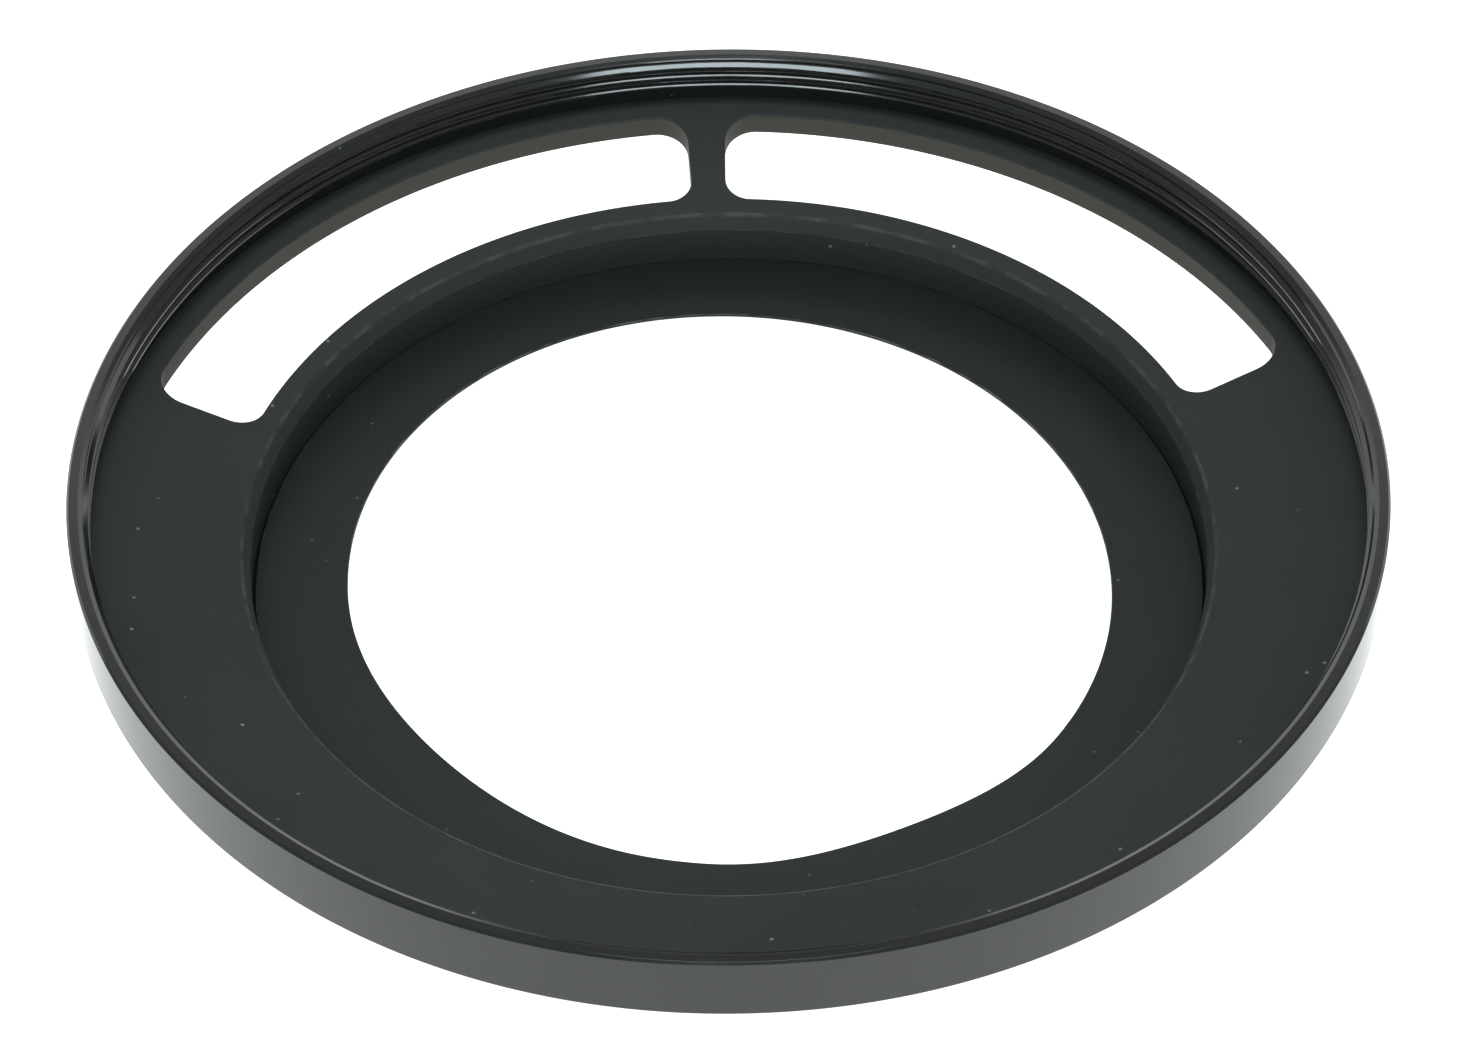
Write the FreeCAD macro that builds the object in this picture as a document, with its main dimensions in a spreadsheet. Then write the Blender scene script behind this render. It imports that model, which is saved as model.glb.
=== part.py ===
"""Vented lens hood with a threaded front ring and a bayonet mount.

Frame: millimetres, +Z towards the front of the hood. The origin is on the hood's axis, in the plane
of the rear face that the hood stands on. The rib between the two vents lies along +Y.
"""
import FreeCAD, Part
import math
import os

import Sketcher

DOCUMENT = FreeCAD.newDocument("lens_hood")
SHEET = DOCUMENT.addObject("Spreadsheet::Sheet", "Params")

# Driving dimensions: alias, value, note. Lengths are in millimetres and angles in degrees.
DIMENSIONS = [
    ("overall_height", 12.2, "rear face to front rim"),
    ("rim_radius", 39.5, "outside of the front ring"),
    ("band_height", 4.25, "height of the front ring"),
    ("edge_break", 0.12, "small chamfer on outside edges"),
    ("rim_face_radius", 38.8, "inner edge of the flat rim face"),
    ("rim_lip_radius", 38.55, "foot of the lip chamfer"),
    ("rim_lip_depth", 0.1, "depth of the lip chamfer"),
    ("crest_radius", 38.2, "thread crest, M77 x 0.75 female"),
    ("root_radius", 38.5, "thread root, M77 x 0.75 female"),
    ("lead_in_depth", 0.58, "depth of the first thread crest"),
    ("thread_pitch", 0.75, "thread pitch"),
    ("crest_flat", 0.25, "axial width of a thread crest"),
    ("root_flat", 0.15, "axial width of a thread root"),
    ("thread_turns", 3, "thread crests"),
    ("undercut_radius", 38.85, "relief groove behind the thread"),
    ("undercut_flank", 0.3, "axial length of the relief groove's slope"),
    ("seat_radius", 39.0, "joint between the front ring and the dish"),
    ("dish_edge_depth", 3.61, "rim down to the dish's outer edge"),
    ("dish_inner_depth", 5.61, "rim down to the dish's inner edge"),
    ("dish_inner_radius", 29.4, "inner edge of the dish's cone"),
    ("dish_thickness", 1.5, "thickness of the cone along the axis"),
    ("dish_under_radius", 38.0, "outer end of the cone's underside"),
    ("recess_radius", 29.0, "wall of the recess and of the bayonet seat"),
    ("bevel_depth", 6.62, "rim down to the foot of the recess bevel"),
    ("floor_depth", 8.95, "rim down to the mount plate"),
    ("plate_thickness", 0.8, "mount plate"),
    ("plate_gap", 0.06, "clearance around the mount plate"),
    ("plate_edge", 0.14, "chamfer at the mount plate's outer edge"),
    ("ledge_radius", 26.6, "opening of the ledge under the mount plate"),
    ("ledge_thickness", 0.6, "ledge under the mount plate"),
    ("collar_radius", 30.3, "outside of the rear collar"),
    ("collar_chamfer", 0.3, "chamfers at the collar's rear edge"),
    ("vent_inner_radius", 30.7, "inner arc of the vents"),
    ("vent_outer_radius", 37.41, "outer arc of the vents"),
    ("vent_near_angle", 1.97, "rib centre to the vent's near end"),
    ("vent_far_angle", 70.5, "rib centre to the vent's far end"),
    ("vent_inner_corner", 1.65, "corner radius of the vents at their inner arc"),
    ("vent_outer_corner", 2.0, "corner radius of the vents at their outer arc"),
    ("opening_long", 23.91, "light opening, half its long axis"),
    ("opening_short", 23.1, "light opening, half its short axis"),
    ("opening_angle", 113.5, "direction of the long axis"),
    ("opening_offset", 0.29, "the opening's centre, towards -Y"),
    ("first_dip", 0.43, "inward dip of the opening's edge on the left"),
    ("first_dip_angle", 220, "direction of that dip"),
    ("first_dip_reach", 36.5, "half the angle that it covers"),
    ("second_dip", 0.67, "inward dip of the opening's edge on the right"),
    ("second_dip_angle", 293.5, "direction of that dip"),
    ("second_dip_reach", 28.5, "half the angle that it covers"),
    ("opening_land", 0.2, "height of the light opening's edge"),
    ("opening_relief", 0.7, "radial relief behind the light opening"),
    ("bayonet_radius", 26.7, "inside of the bayonet ring"),
    ("bayonet_gap", 0.05, "clearance around the bayonet ring"),
    ("bayonet_recess", 0.3, "rear face of the bayonet ring above the collar's"),
    ("lug_radius", 25.75, "inside of the bayonet lugs"),
    ("lug_thickness", 0.7, "bayonet lugs"),
    ("lug_span", 32, "angle covered by a lug"),
    ("lug_angle", 36, "direction of the first lug"),
    ("screw_circle", 27.8, "radius of the screw circle"),
    ("screw_angle", 90, "direction of the first screw"),
    ("screw_radius", 0.7, "M1.4 shank"),
    ("screw_head_radius", 1.0, "countersunk head"),
    ("screw_length", 2.6, "screw from head to tip"),
    ("screw_slot_width", 0.25, "driver slot"),
    ("screw_slot_depth", 0.22, "driver slot"),
    ("bayonet_count", 3, "lugs, and screws between them"),
    ("click_root_angle", 314, "direction of the click spring's screw"),
    ("click_nose_angle", 293, "direction of the click spring's nose"),
    ("click_tip_angle", 291, "direction of the click spring's free end"),
    ("click_pocket_depth", 0.9, "pocket in the bayonet ring"),
    ("click_pocket_inner", 27.3, "inner wall of that pocket"),
    ("click_pocket_outer", 28.6, "outer wall of that pocket"),
    ("click_pocket_start", 289.5, "free end of that pocket"),
    ("click_eye_pocket", 1.0, "radius of the pocket around the spring's eye"),
    ("click_arm_inner", 27.85, "inside of the click spring's arm"),
    ("click_arm_outer", 28.1, "outside of the click spring's arm"),
    ("click_arm_end", 311.5, "direction where the upright arm ends"),
    ("click_arm_height", 0.75, "width of the click spring's strip"),
    ("click_neck_start", 309.5, "direction where the flat neck to the eye starts"),
    ("click_neck_end", 313.5, "direction where that neck ends, inside the eye"),
    ("click_neck_inner", 27.45, "inner edge of that neck"),
    ("click_lift", 0.05, "clearance above and below the click spring"),
    ("click_eye_radius", 0.85, "eye around the screw"),
    ("click_eye_hole", 0.45, "hole in the eye"),
    ("click_eye_thickness", 0.25, "eye"),
    ("click_nose_radius", 26.35, "tip of the nose"),
    ("click_nose_tip", 0.3, "half width of the nose at its tip"),
    ("click_nose_base", 0.75, "half width of the nose at the arm"),
    ("click_nose_wall", 0.2, "wall of the folded nose, across the fold"),
    ("click_window_angle", 2.4, "half angle of the nose's window"),
    ("click_screw_radius", 0.425, "shank of the click spring's screw"),
    ("click_screw_head", 0.75, "head of the click spring's screw"),
    ("click_screw_head_height", 0.4, "head of the click spring's screw"),
    ("click_screw_length", 1.0, "shank of the click spring's screw"),
    ("pin_radius", 0.5, "locating pin"),
    ("locating_pin_angle", 62, "direction of the locating pin"),
    ("locating_pin_foot", 0.45, "rear end of the locating pin"),
    ("stop_pin_radius", 0.4, "bayonet stop pin"),
    ("stop_pin_circle", 26.1, "radius of the stop pin's place"),
    ("stop_pin_angle", 56.5, "direction of the stop pin"),
    ("stop_pin_foot", 1.1, "rear end of the stop pin"),
    ("pin_embed", 0.5, "length of a pin held in the mount plate"),
]


OPENING_POINTS = 72


class Size:
    """A dimension that carries both its value and its formula in the sheet's names."""

    def __init__(self, value, formula):
        self.value = value
        self.formula = formula

    def combine(self, other, sign, value):
        formula = other.formula if isinstance(other, Size) else repr(other)
        return Size(value, "(" + self.formula + " " + sign + " " + formula + ")")

    def __add__(self, other):
        return self.combine(other, "+", self.value + number(other))

    def __sub__(self, other):
        return self.combine(other, "-", self.value - number(other))

    def __mul__(self, other):
        return self.combine(other, "*", self.value * number(other))

    def __truediv__(self, other):
        return self.combine(other, "/", self.value / number(other))


def number(size):
    return size.value if isinstance(size, Size) else size


def write_sheet():
    """Fill the sheet and return its dimensions by name."""
    sizes = {}
    for row, (alias, value, note) in enumerate(DIMENSIONS, start=1):
        SHEET.set("A%d" % row, note)
        SHEET.set("B%d" % row, str(value))
        SHEET.setAlias("B%d" % row, alias)
        sizes[alias] = Size(float(value), "Params." + alias)
    DOCUMENT.recompute()
    return sizes


D = write_sheet()


def up_from_rear(depth):
    """Height above the rear face of something measured down from the rim."""
    return D["overall_height"] - depth


def polar(radius, angle):
    """Point in the XY plane at a radius and an angle from +X, both of them sizes."""
    turn = math.radians(number(angle))
    cosine = "cos(%s * 1 deg)" % formula_of(angle)
    sine = "sin(%s * 1 deg)" % formula_of(angle)
    x = Size(number(radius) * math.cos(turn), "(%s * %s)" % (formula_of(radius), cosine))
    y = Size(number(radius) * math.sin(turn), "(%s * %s)" % (formula_of(radius), sine))
    return x, y


def formula_of(size):
    return size.formula if isinstance(size, Size) else repr(size)


def bind(target, prop, size):
    target.setExpression(prop, size.formula)


# Sketches -------------------------------------------------------------------------------------------

def origin_plane(body, role):
    for feature in body.Origin.OriginFeatures:
        if feature.Role == role:
            return feature
    raise ValueError(role)


def new_body(label):
    body = DOCUMENT.addObject("PartDesign::Body", label)
    body.Label = label
    return body


def new_sketch(body, name, role, height=None):
    """Sketch on one of the body's own origin planes, lifted along its normal."""
    sketch = body.newObject("Sketcher::SketchObject", name)
    sketch.AttachmentSupport = [(origin_plane(body, role), "")]
    sketch.MapMode = "FlatFace"
    if height is not None:
        bind(sketch, "AttachmentOffset.Base.z", height)
    return sketch


def pin_vertex(sketch, geometry, end, x, y):
    """Hold one vertex at its distances from the sketch's origin."""
    for kind, size, axis in (("DistanceX", x, -2), ("DistanceY", y, -1)):
        if abs(size.value) < 1e-9:
            sketch.addConstraint(Sketcher.Constraint("PointOnObject", geometry, end, axis))
            continue
        index = sketch.addConstraint(Sketcher.Constraint(kind, -1, 1, geometry, end, size.value))
        sketch.setExpression("Constraints[%d]" % index, size.formula)


def outline(sketch, corners):
    """Closed outline of straight lines through corners given as pairs of sizes."""
    points = [FreeCAD.Vector(x.value, y.value, 0) for x, y in corners]
    first = sketch.GeometryCount
    count = len(points)
    for i in range(count):
        sketch.addGeometry(Part.LineSegment(points[i], points[(i + 1) % count]))
    for i in range(count):
        following = first + (i + 1) % count
        sketch.addConstraint(Sketcher.Constraint("Coincident", first + i, 2, following, 1))
    for i, (x, y) in enumerate(corners):
        pin_vertex(sketch, first + i, 1, x, y)


def circle(sketch, radius, x=None, y=None):
    """Circle about the sketch's origin, or about a point given as two sizes."""
    centre = FreeCAD.Vector(x.value, y.value, 0) if x else FreeCAD.Vector(0, 0, 0)
    normal = FreeCAD.Vector(0, 0, 1)
    geometry = sketch.addGeometry(Part.Circle(centre, normal, radius.value))
    if x:
        pin_vertex(sketch, geometry, 3, x, y)
    else:
        sketch.addConstraint(Sketcher.Constraint("Coincident", geometry, 3, -1, 1))
    index = sketch.addConstraint(Sketcher.Constraint("Radius", geometry, radius.value))
    sketch.setExpression("Constraints[%d]" % index, radius.formula)


def ring_arc(sketch, radius, start, stop):
    """Arc about the sketch's origin between two directions in degrees, its radius held by a size."""
    ring = Part.Circle(FreeCAD.Vector(0, 0, 0), FreeCAD.Vector(0, 0, 1), radius.value)
    arc = sketch.addGeometry(Part.ArcOfCircle(ring, math.radians(start), math.radians(stop)))
    sketch.addConstraint(Sketcher.Constraint("Coincident", arc, 3, -1, 1))
    index = sketch.addConstraint(Sketcher.Constraint("Radius", arc, radius.value))
    sketch.setExpression("Constraints[%d]" % index, radius.formula)
    return arc


def hold_direction(sketch, line, angle):
    """Hold a line's direction, in degrees from +X."""
    index = sketch.addConstraint(Sketcher.Constraint("Angle", line, math.radians(angle.value)))
    sketch.setExpression("Constraints[%d]" % index, angle.formula + " * 1 deg")


def sector(sketch, inner, outer, start, stop):
    """Ring sector about the origin, between two radii and two directions given as sizes."""
    arc_in = ring_arc(sketch, inner, start.value, stop.value)
    arc_out = ring_arc(sketch, outer, start.value, stop.value)
    for end, angle in ((1, start), (2, stop)):
        near = FreeCAD.Vector(*(c.value for c in polar(inner, angle)), 0)
        far = FreeCAD.Vector(*(c.value for c in polar(outer, angle)), 0)
        line = sketch.addGeometry(Part.LineSegment(near, far))
        sketch.addConstraint(Sketcher.Constraint("Coincident", line, 1, arc_in, end))
        sketch.addConstraint(Sketcher.Constraint("Coincident", line, 2, arc_out, end))
        sketch.addConstraint(Sketcher.Constraint("PointOnObject", -1, 1, line))
        hold_direction(sketch, line, angle)


# Features -------------------------------------------------------------------------------------------

def revolve(body, name, corners):
    """Solid of revolution about Z from an outline in the XZ plane: pairs of radius and height."""
    sketch = new_sketch(body, name + "_profile", "XZ_Plane")
    outline(sketch, corners)
    feature = body.newObject("PartDesign::Revolution", name)
    feature.Profile = sketch
    feature.ReferenceAxis = (sketch, ["V_Axis"])
    feature.Angle = 360
    DOCUMENT.recompute()
    return feature


def pad(body, name, sketch, length):
    feature = body.newObject("PartDesign::Pad", name)
    feature.Profile = sketch
    bind(feature, "Length", length)
    DOCUMENT.recompute()
    return feature


def pocket_up(body, name, sketch, depth=None):
    """Cut towards +Z, by a depth or right through, and make sure that it removed something."""
    before = body.Shape.Volume
    feature = body.newObject("PartDesign::Pocket", name)
    feature.Profile = sketch
    feature.Reversed = True
    if depth is None:
        feature.Type = "ThroughAll"
    else:
        bind(feature, "Length", depth)
    DOCUMENT.recompute()
    if not feature.Shape.Volume < before - 1e-6:
        raise RuntimeError(name + " removed nothing")
    return feature


def repeat_round(body, name, features, count):
    """Repeat features evenly round Z."""
    pattern = body.newObject("PartDesign::PolarPattern", name)
    pattern.Originals = features
    pattern.Axis = (origin_plane(body, "Z_Axis"), [""])
    pattern.Angle = 360
    bind(pattern, "Occurrences", count)
    body.Tip = pattern
    DOCUMENT.recompute()
    return pattern


def mirror_in_yz(body, name, features):
    mirrored = body.newObject("PartDesign::Mirrored", name)
    mirrored.Originals = features
    mirrored.MirrorPlane = (origin_plane(body, "YZ_Plane"), [""])
    body.Tip = mirrored
    DOCUMENT.recompute()
    return mirrored


def edges_where(shape, wanted):
    """Names of the edges for which wanted(edge) is true."""
    return ["Edge%d" % i for i, edge in enumerate(shape.Edges, start=1) if wanted(edge)]


def drill(body, name, radius, x, y, height, depth=None):
    """Round hole cut upwards from a height, by a depth or right through."""
    sketch = new_sketch(body, name + "_place", "XY_Plane", height)
    circle(sketch, radius, x, y)
    return pocket_up(body, name, sketch, depth)


# Heights shared by several pieces.
RIM = D["overall_height"]
BAND_BOTTOM = up_from_rear(D["band_height"])
DISH_EDGE = up_from_rear(D["dish_edge_depth"])
PLATE_TOP = up_from_rear(D["floor_depth"])
PLATE_BOTTOM = PLATE_TOP - D["plate_thickness"]
LEDGE_BOTTOM = PLATE_BOTTOM - D["ledge_thickness"]
BAYONET_BOTTOM = D["bayonet_recess"]
CLICK_CEILING = BAYONET_BOTTOM + D["click_pocket_depth"]
GROUND = D["overall_height"] - D["overall_height"]


def front_ring():
    """Glossy outer ring with the front thread, its relief groove and the seat for the dish."""
    body = new_body("front_ring")
    flank = (D["thread_pitch"] - D["crest_flat"] - D["root_flat"]) / 2
    corners = [
        (D["seat_radius"], BAND_BOTTOM),
        (D["rim_radius"] - D["edge_break"], BAND_BOTTOM),
        (D["rim_radius"], BAND_BOTTOM + D["edge_break"]),
        (D["rim_radius"], RIM - D["edge_break"]),
        (D["rim_radius"] - D["edge_break"], RIM),
        (D["rim_face_radius"], RIM),
        (D["rim_lip_radius"], RIM - D["rim_lip_depth"]),
    ]
    turns = int(D["thread_turns"].value)
    for turn in range(turns):
        crest_top = RIM - D["lead_in_depth"] - D["thread_pitch"] * turn
        crest_foot = crest_top - D["crest_flat"]
        corners.append((D["crest_radius"], crest_top))
        corners.append((D["crest_radius"], crest_foot))
        if turn < turns - 1:
            corners.append((D["root_radius"], crest_foot - flank))
            corners.append((D["root_radius"], crest_foot - flank - D["root_flat"]))
    corners.append((D["undercut_radius"], crest_foot - D["undercut_flank"]))
    corners.append((D["undercut_radius"], DISH_EDGE))
    corners.append((D["seat_radius"], DISH_EDGE))
    revolve(body, "front_ring_body", corners)
    return body


def vented_dish():
    """Matte cone with two vents, the recess behind it and the rear collar."""
    body = new_body("vented_dish")
    inner_edge = up_from_rear(D["dish_inner_depth"])
    slope = (DISH_EDGE - inner_edge) / (D["seat_radius"] - D["dish_inner_radius"])

    def underside(radius):
        return DISH_EDGE - slope * (D["seat_radius"] - radius) - D["dish_thickness"]

    chamfer = D["collar_chamfer"]
    revolve(body, "dish_body", [
        (D["seat_radius"], DISH_EDGE),
        (D["dish_inner_radius"], inner_edge),
        (D["recess_radius"], up_from_rear(D["bevel_depth"])),
        (D["recess_radius"], PLATE_BOTTOM),
        (D["ledge_radius"], PLATE_BOTTOM),
        (D["ledge_radius"], LEDGE_BOTTOM),
        (D["recess_radius"], LEDGE_BOTTOM),
        (D["recess_radius"], chamfer / 2),
        (D["recess_radius"] + chamfer / 2, GROUND),
        (D["collar_radius"] - chamfer, GROUND),
        (D["collar_radius"], chamfer),
        (D["collar_radius"], underside(D["collar_radius"])),
        (D["dish_under_radius"], underside(D["dish_under_radius"])),
        (D["seat_radius"], BAND_BOTTOM),
    ])
    cut_vents(body)
    for i in range(int(D["bayonet_count"].value)):
        x, y = polar(D["screw_circle"], screw_direction(i))
        drill(body, "dish_screw_hole_%d" % (i + 1), D["screw_radius"], x, y, GROUND)
    x, y = polar(D["screw_circle"], D["locating_pin_angle"])
    drill(body, "dish_pin_hole", D["pin_radius"], x, y, GROUND)
    return body


def cut_vents(body):
    """Two mirrored arc windows with rounded corners, either side of the rib."""
    sketch = new_sketch(body, "vent_outline", "XY_Plane", GROUND)
    start = D["vent_far_angle"] * -1 + 90
    stop = D["vent_near_angle"] * -1 + 90
    sector(sketch, D["vent_inner_radius"], D["vent_outer_radius"], start, stop)
    vent = pocket_up(body, "vent", sketch)
    both = mirror_in_yz(body, "vents", [vent])
    inner = round_vents(body, both, "vent_inner_radius", "vent_inner_corner")
    body.Tip = round_vents(body, inner, "vent_outer_radius", "vent_outer_corner")
    DOCUMENT.recompute()


def round_vents(body, base, arc_name, corner_name):
    """Round the four upright corners of the vents that lie on one of their arcs."""
    def is_corner(edge):
        span = edge.BoundBox
        radius = math.hypot(span.Center.x, span.Center.y)
        upright = span.XLength < 1e-3 and span.YLength < 1e-3 and span.ZLength > 1.0
        return upright and abs(radius - D[arc_name].value) < 0.1

    corners = edges_where(base.Shape, is_corner)
    if len(corners) != 4:
        raise RuntimeError("expected 4 corners at %s, found %d" % (arc_name, len(corners)))
    rounding = body.newObject("PartDesign::Fillet", corner_name + "s")
    rounding.Base = (base, corners)
    bind(rounding, "Radius", D[corner_name])
    DOCUMENT.recompute()
    return rounding


def screw_direction(i):
    return D["screw_angle"] + 360.0 / D["bayonet_count"].value * i


def mount_plate():
    """Recess floor: a flat plate with the light opening, screwed down from behind."""
    body = new_body("plate_body")
    outer = D["recess_radius"] - D["plate_gap"]
    sketch = new_sketch(body, "plate_outline", "XY_Plane", PLATE_BOTTOM)
    circle(sketch, outer)
    blank = pad(body, "plate_blank", sketch, D["plate_thickness"])

    def is_top_edge(edge):
        return edge.BoundBox.ZMin > PLATE_TOP.value - 1e-3

    edge_chamfer = body.newObject("PartDesign::Chamfer", "plate_edge")
    edge_chamfer.Base = (blank, edges_where(blank.Shape, is_top_edge))
    bind(edge_chamfer, "Size", D["plate_edge"])
    body.Tip = edge_chamfer
    DOCUMENT.recompute()
    for i in range(int(D["bayonet_count"].value)):
        x, y = polar(D["screw_circle"], screw_direction(i))
        drill(body, "plate_screw_hole_%d" % (i + 1), D["screw_radius"], x, y, PLATE_BOTTOM, D["pin_embed"])
    x, y = polar(D["screw_circle"], D["locating_pin_angle"])
    drill(body, "plate_locating_hole", D["pin_radius"], x, y, PLATE_BOTTOM, D["pin_embed"])
    x, y = polar(D["stop_pin_circle"], D["stop_pin_angle"])
    drill(body, "plate_stop_hole", D["stop_pin_radius"], x, y, PLATE_BOTTOM, D["pin_embed"])
    plate = DOCUMENT.addObject("Part::Cut", "mount_plate")
    plate.Base = body
    plate.Tool = opening_tool()
    plate.Label = "mount_plate"
    DOCUMENT.recompute()
    return plate


def dip(angle, depth, direction, reach):
    """Smooth inward dip of an edge round one direction, zero outside its reach."""
    lean = (angle - direction + 180) % 360 - 180
    if abs(lean) > reach:
        return 0.0
    return depth * (1 + math.cos(math.pi * lean / reach)) / 2


def opening_radius(angle):
    """Distance from the axis to the edge of the light opening: an oval with two shallow dips."""
    long_half, short_half = D["opening_long"].value, D["opening_short"].value
    turn = math.radians(angle - D["opening_angle"].value)
    axis_turn = math.radians(-90 - D["opening_angle"].value)
    along, across = math.cos(turn) / long_half, math.sin(turn) / short_half
    shift_along = D["opening_offset"].value * math.cos(axis_turn) / long_half
    shift_across = D["opening_offset"].value * math.sin(axis_turn) / short_half
    square = along ** 2 + across ** 2
    half = along * shift_along + across * shift_across
    rest = shift_along ** 2 + shift_across ** 2 - 1
    oval = (half + math.sqrt(half ** 2 - square * rest)) / square
    first = dip(angle, D["first_dip"].value, D["first_dip_angle"].value, D["first_dip_reach"].value)
    second = dip(angle, D["second_dip"].value, D["second_dip_angle"].value, D["second_dip_reach"].value)
    return oval - first - second


def opening_wire(growth, height):
    """Closed smooth outline of the light opening, grown outwards, at a height."""
    points = []
    for step in range(OPENING_POINTS):
        angle = 360 * step / OPENING_POINTS
        radius = opening_radius(angle) + growth
        turn = math.radians(angle)
        points.append(FreeCAD.Vector(radius * math.cos(turn), radius * math.sin(turn), height))
    curve = Part.BSplineCurve()
    curve.interpolate(points, PeriodicFlag=True)
    return Part.Wire(curve.toShape())


def opening_tool():
    """Solid of the light opening: a thin straight land above a relief that widens to the rear."""
    relief_height = D["plate_thickness"].value - D["opening_land"].value
    slope = D["opening_relief"].value / relief_height
    land_bottom = PLATE_BOTTOM.value + relief_height
    reach = 0.02
    relief = Part.makeLoft([
        opening_wire(0.0, land_bottom),
        opening_wire(slope * (relief_height + reach), land_bottom - relief_height - reach),
    ], True)
    land = Part.Face(opening_wire(0.0, land_bottom)).extrude(FreeCAD.Vector(0, 0, 1))
    tool = DOCUMENT.addObject("Part::Feature", "light_opening")
    tool.Shape = land.fuse(relief)
    return tool


def bayonet_ring():
    """Ring with inward lugs, countersunk screw holes and the click spring's pocket."""
    body = new_body("bayonet_ring")
    height = LEDGE_BOTTOM - BAYONET_BOTTOM
    sketch = new_sketch(body, "bayonet_outline", "XY_Plane", BAYONET_BOTTOM)
    circle(sketch, D["recess_radius"] - D["bayonet_gap"])
    circle(sketch, D["bayonet_radius"])
    pad(body, "bayonet_blank", sketch, height)
    sketch = new_sketch(body, "lug_outline", "XY_Plane", BAYONET_BOTTOM)
    start = D["lug_angle"] - D["lug_span"] / 2
    stop = D["lug_angle"] + D["lug_span"] / 2
    sector(sketch, D["lug_radius"], D["bayonet_radius"] + D["bayonet_gap"], start, stop)
    lug = pad(body, "lug", sketch, D["lug_thickness"])
    repeat_round(body, "lugs", [lug], D["bayonet_count"])
    for i in range(int(D["bayonet_count"].value)):
        countersink(body, "screw_%d" % (i + 1), screw_direction(i))
    x, y = polar(D["screw_circle"], D["locating_pin_angle"])
    drill(body, "bayonet_pin_hole", D["pin_radius"], x, y, BAYONET_BOTTOM)
    cut_click_pocket(body)
    return body


def countersink(body, name, angle):
    """Through hole with a cone for a countersunk head, opening to the rear."""
    x, y = polar(D["screw_circle"], angle)
    hole = drill(body, name + "_hole", D["screw_radius"], x, y, BAYONET_BOTTOM)

    def is_hole_mouth(edge):
        span = edge.BoundBox
        flat = span.ZMax < BAYONET_BOTTOM.value + 1e-3
        here = math.hypot(span.Center.x - x.value, span.Center.y - y.value) < 0.05
        return flat and here

    sink = body.newObject("PartDesign::Chamfer", name + "_sink")
    sink.Base = (hole, edges_where(hole.Shape, is_hole_mouth))
    bind(sink, "Size", D["screw_head_radius"] - D["screw_radius"])
    body.Tip = sink
    DOCUMENT.recompute()


def cut_click_pocket(body):
    """Curved pocket for the click spring, the round end for its eye, and the nose's window."""
    sketch = new_sketch(body, "click_pocket_outline", "XY_Plane", BAYONET_BOTTOM)
    sector(sketch, D["click_pocket_inner"], D["click_pocket_outer"],
           D["click_pocket_start"], D["click_root_angle"])
    pocket_up(body, "click_pocket", sketch, D["click_pocket_depth"])
    x, y = polar(D["screw_circle"], D["click_root_angle"])
    drill(body, "click_eye_seat", D["click_eye_pocket"], x, y, BAYONET_BOTTOM, D["click_pocket_depth"])
    sketch = new_sketch(body, "nose_window_outline", "XY_Plane", BAYONET_BOTTOM)
    sector(sketch, D["lug_radius"], D["click_pocket_inner"] + D["click_lift"],
           D["click_nose_angle"] - D["click_window_angle"], D["click_nose_angle"] + D["click_window_angle"])
    pocket_up(body, "nose_window", sketch, D["click_pocket_depth"])
    drill(body, "click_screw_hole", D["click_screw_radius"], x, y, CLICK_CEILING, D["click_screw_length"] / 2)


def click_spring():
    """Leaf spring: an eye on its screw, a curved arm and a nose that reaches through the window."""
    body = new_body("click_spring")
    top = CLICK_CEILING - D["click_lift"]
    bottom = top - D["click_arm_height"]
    sketch = new_sketch(body, "arm_outline", "XY_Plane", bottom)
    sector(sketch, D["click_arm_inner"], D["click_arm_outer"], D["click_tip_angle"], D["click_arm_end"])
    pad(body, "arm", sketch, D["click_arm_height"])
    sketch = new_sketch(body, "neck_outline", "XY_Plane", top - D["click_eye_thickness"])
    sector(sketch, D["click_neck_inner"], D["click_arm_outer"], D["click_neck_start"], D["click_neck_end"])
    pad(body, "neck", sketch, D["click_eye_thickness"])
    sketch = new_sketch(body, "eye_outline", "XY_Plane", top - D["click_eye_thickness"])
    x, y = polar(D["screw_circle"], D["click_root_angle"])
    circle(sketch, D["click_eye_radius"], x, y)
    pad(body, "eye", sketch, D["click_eye_thickness"])
    sketch = new_sketch(body, "nose_outline", "XY_Plane", bottom)
    outline(sketch, nose_corners())
    pad(body, "nose", sketch, D["click_arm_height"])
    drill(body, "eye_hole", D["click_eye_hole"], x, y, bottom)
    return body


def nose_corners():
    """Folded nose: an outer V and the open fold inside it."""
    direction = D["click_nose_angle"]
    x_out, y_out = polar(Size(1.0, "1"), direction)
    strip = D["click_arm_outer"] - D["click_arm_inner"]
    root = D["click_arm_inner"] + strip / 2
    tip = D["click_nose_radius"]
    fold = tip + strip

    def place(radius, across):
        return (x_out * radius - y_out * across, y_out * radius + x_out * across)

    base = D["click_nose_base"]
    half = D["click_nose_tip"]
    thin = D["click_nose_wall"]
    return [
        place(root, base * -1),
        place(tip, half * -1),
        place(tip, half),
        place(root, base),
        place(root, base - thin),
        place(fold, half - thin),
        place(fold, (half - thin) * -1),
        place(root, (base - thin) * -1),
    ]


def put_at(feature, x, y, z):
    """Place a primitive through its own sheet-bound position."""
    for axis, size in (("x", x), ("y", y), ("z", z)):
        bind(feature, "Placement.Base." + axis, size)


def cylinder(name, radius, length, x, y, z):
    feature = DOCUMENT.addObject("Part::Cylinder", name)
    bind(feature, "Radius", radius)
    bind(feature, "Height", length)
    put_at(feature, x, y, z)
    return feature


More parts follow.
